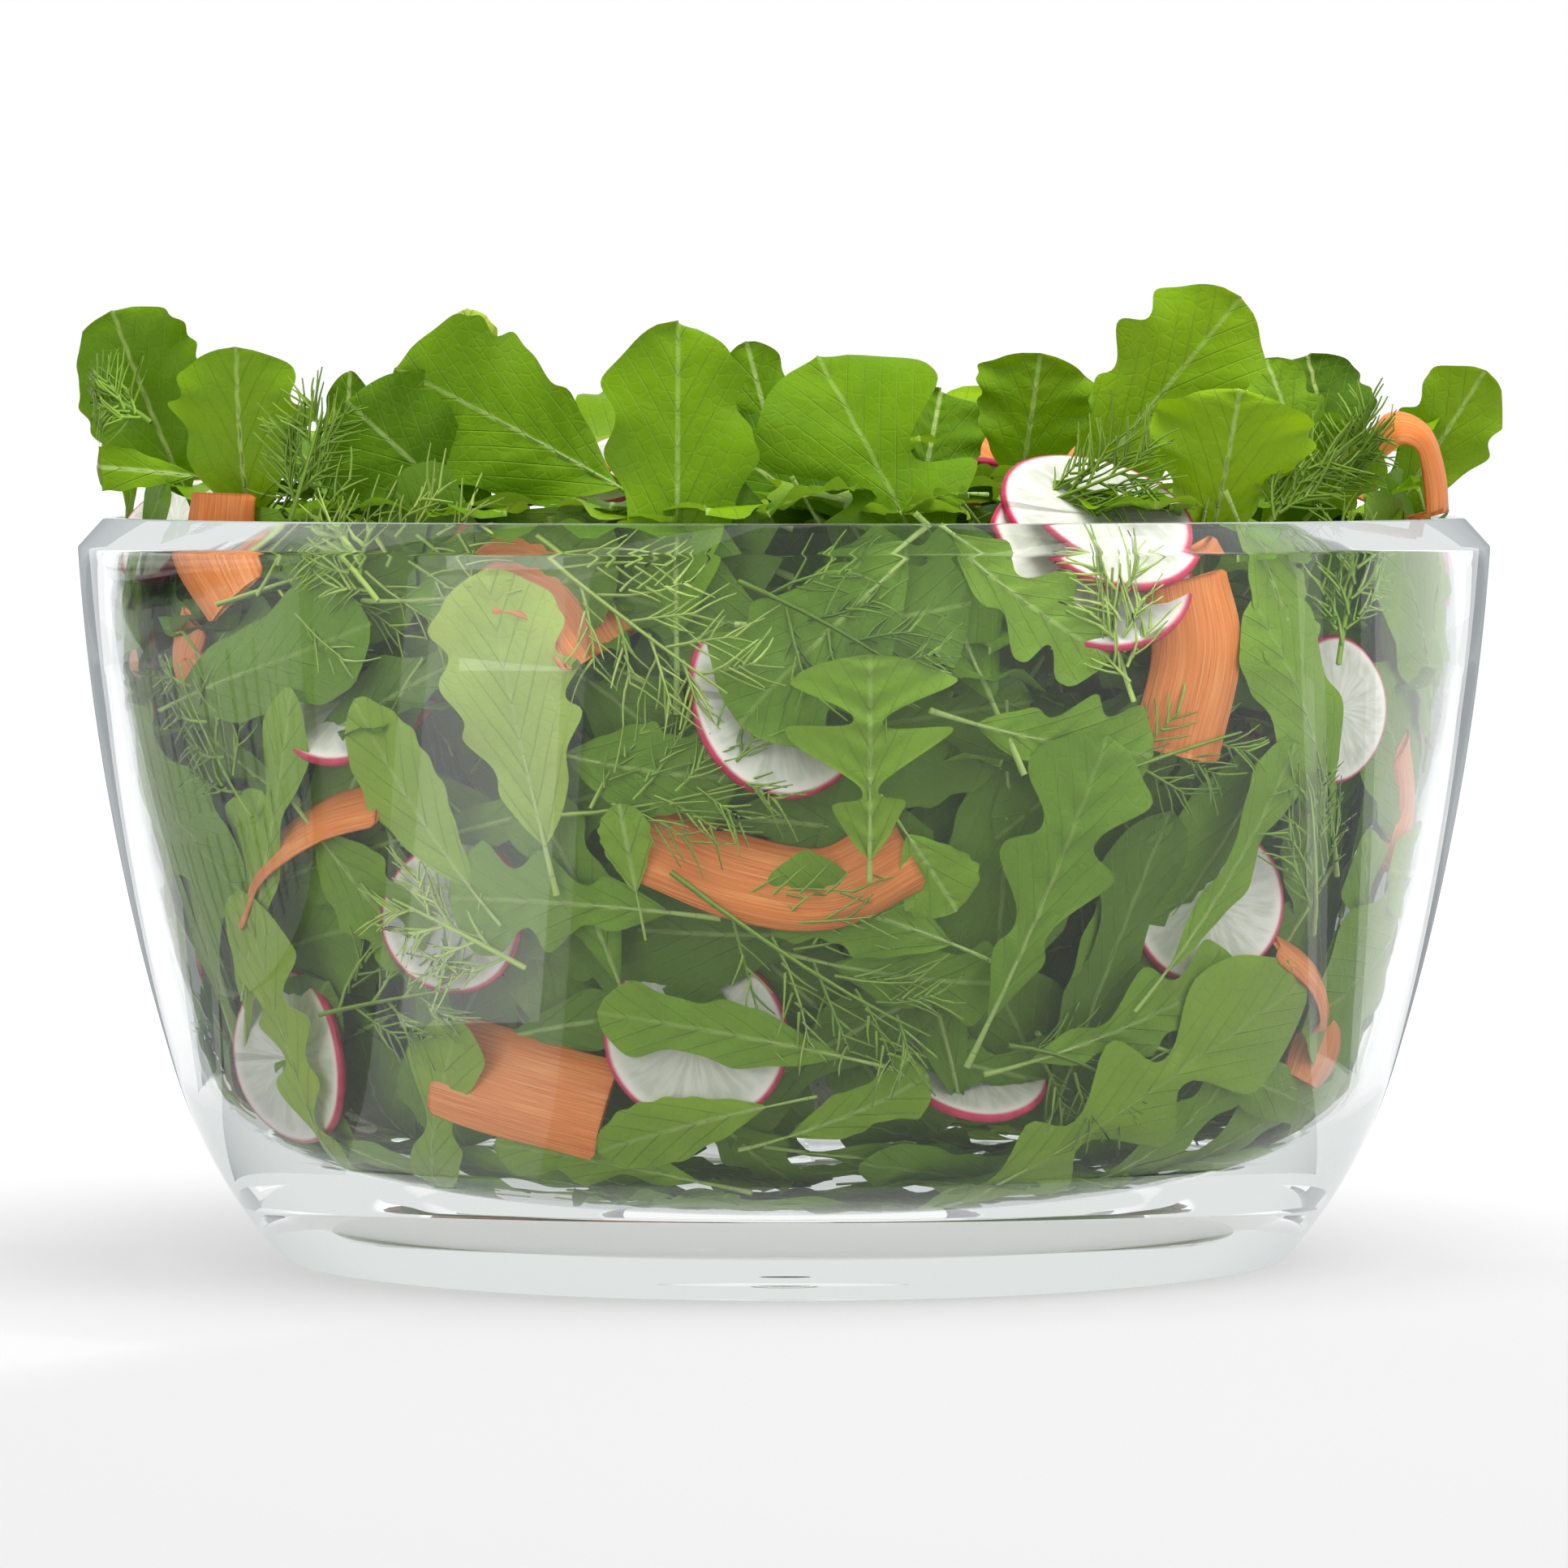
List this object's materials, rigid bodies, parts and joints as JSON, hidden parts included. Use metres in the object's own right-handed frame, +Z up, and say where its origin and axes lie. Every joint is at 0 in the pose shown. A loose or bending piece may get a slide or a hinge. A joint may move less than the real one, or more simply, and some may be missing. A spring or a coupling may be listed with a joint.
{
  "type": "salad spinner",
  "caption": "Pump-top salad spinner: thick clear glass bowl, slotted basket, and a clear lid with a pump knob, one-way drive, brake and knob lock.",
  "frame": {"origin": "centre of the glass bowl's base, on the worktop", "axes": "+Z up; the basket with the lid seated on it stands beside the bowl towards -X"},
  "size_m": [0.5892, 0.2712, 0.1862],
  "materials": {
    "bowl_glass": "clear, polished",
    "clear_plastic": "clear, polished",
    "white_plastic": "satin",
    "nylon": "matte",
    "grey_plastic": "satin",
    "grip_rubber": "soft, matte",
    "seal_rubber": "matte",
    "steel": "bright"
  },
  "bodies": {
    "bowl": {"glass_bowl": "bowl_glass"},
    "basket": {"basket": "white_plastic", "basket_pivot": "nylon"},
    "lid": {"lid_shell": "clear_plastic", "lid_base": "white_plastic", "lid_seal": "seal_rubber", "lid_screws": "steel", "mechanism_housing": "white_plastic", "housing_screws": "steel", "trim_ring": "grey_plastic", "screw_bush": "nylon", "return_spring": "steel", "brake_spring": "steel"},
    "knob": {"pump_knob": "white_plastic", "knob_grip": "grip_rubber", "plunger_tube": "nylon", "drive_nut": "nylon"},
    "screw": {"drive_screw": "nylon", "thrust_washer": "nylon", "pawl_carrier": "steel", "pawl_springs": "steel", "axle_screw": "steel", "axle_washer": "steel"},
    "pawl_a": {"pawl_1": "nylon"},
    "pawl_b": {"pawl_2": "nylon"},
    "pawl_c": {"pawl_3": "nylon"},
    "rotor": {"drive_plate": "white_plastic", "ratchet_ring": "nylon", "plate_bush": "nylon"},
    "brake": {"brake_button": "grey_plastic", "brake_pad": "seal_rubber"},
    "lock": {"knob_lock": "grey_plastic", "lock_clip": "steel"}
  },
  "joints": [
    {"name": "lid_lift", "type": "slide", "parent": "bowl", "child": "lid", "axis": [0, 0, 1], "range_m": [0, 0.12]},
    {"name": "knob_press", "type": "slide", "parent": "lid", "child": "knob", "axis": [0, 0, -1], "range_m": [0, 0.03], "stiffness_N_per_m": 150, "springref_m": -0.02, "deforming": ["return_spring"]},
    {"name": "screw_turn", "type": "hinge", "parent": "lid", "child": "screw", "pos_m": [-0.3196, 0, 0.11], "axis": [0, 0, 1], "range_deg": [0, 181]},
    {"name": "rotor_turn", "type": "hinge", "parent": "lid", "child": "rotor", "pos_m": [-0.3196, 0, 0.107], "axis": [0, 0, 1], "continuous": true},
    {"name": "basket_turn", "type": "hinge", "parent": "bowl", "child": "basket", "pos_m": [-0.3196, 0, 0.008], "axis": [0, 0, 1], "continuous": true},
    {"name": "pawl_1_swing", "type": "hinge", "parent": "screw", "child": "pawl_a", "pos_m": [-0.3001, 0, 0.0995], "axis": [0, 0, 1], "range_deg": [0, 12], "stiffness_Nm_per_rad": 0.002, "springref_deg": -28.65},
    {"name": "pawl_2_swing", "type": "hinge", "parent": "screw", "child": "pawl_b", "pos_m": [-0.32935, 0.01689, 0.0995], "axis": [0, 0, 1], "range_deg": [0, 12], "stiffness_Nm_per_rad": 0.002, "springref_deg": -28.65},
    {"name": "pawl_3_swing", "type": "hinge", "parent": "screw", "child": "pawl_c", "pos_m": [-0.32935, -0.01689, 0.0995], "axis": [0, 0, 1], "range_deg": [0, 12], "stiffness_Nm_per_rad": 0.002, "springref_deg": -28.65},
    {"name": "brake_press", "type": "slide", "parent": "lid", "child": "brake", "axis": [0, 0, -1], "range_m": [0, 0.0052], "stiffness_N_per_m": 300, "springref_m": -0.01, "deforming": ["brake_spring"]},
    {"name": "lock_slide", "type": "slide", "parent": "lid", "child": "lock", "axis": [0.866, -0.5, 0], "range_m": [0, 0.004]}
  ],
  "couplings": [
    {"joint": "screw_turn", "follows": "knob_press", "rad_per_m": 104.72},
    {"joint": "rotor_turn", "follows": "knob_press", "rad_per_m": 104.72},
    {"joint": "basket_turn", "follows": "knob_press", "rad_per_m": 104.72},
    {"joint": "pawl_2_swing", "follows": "pawl_1_swing", "ratio": 1},
    {"joint": "pawl_3_swing", "follows": "pawl_1_swing", "ratio": 1}
  ]
}
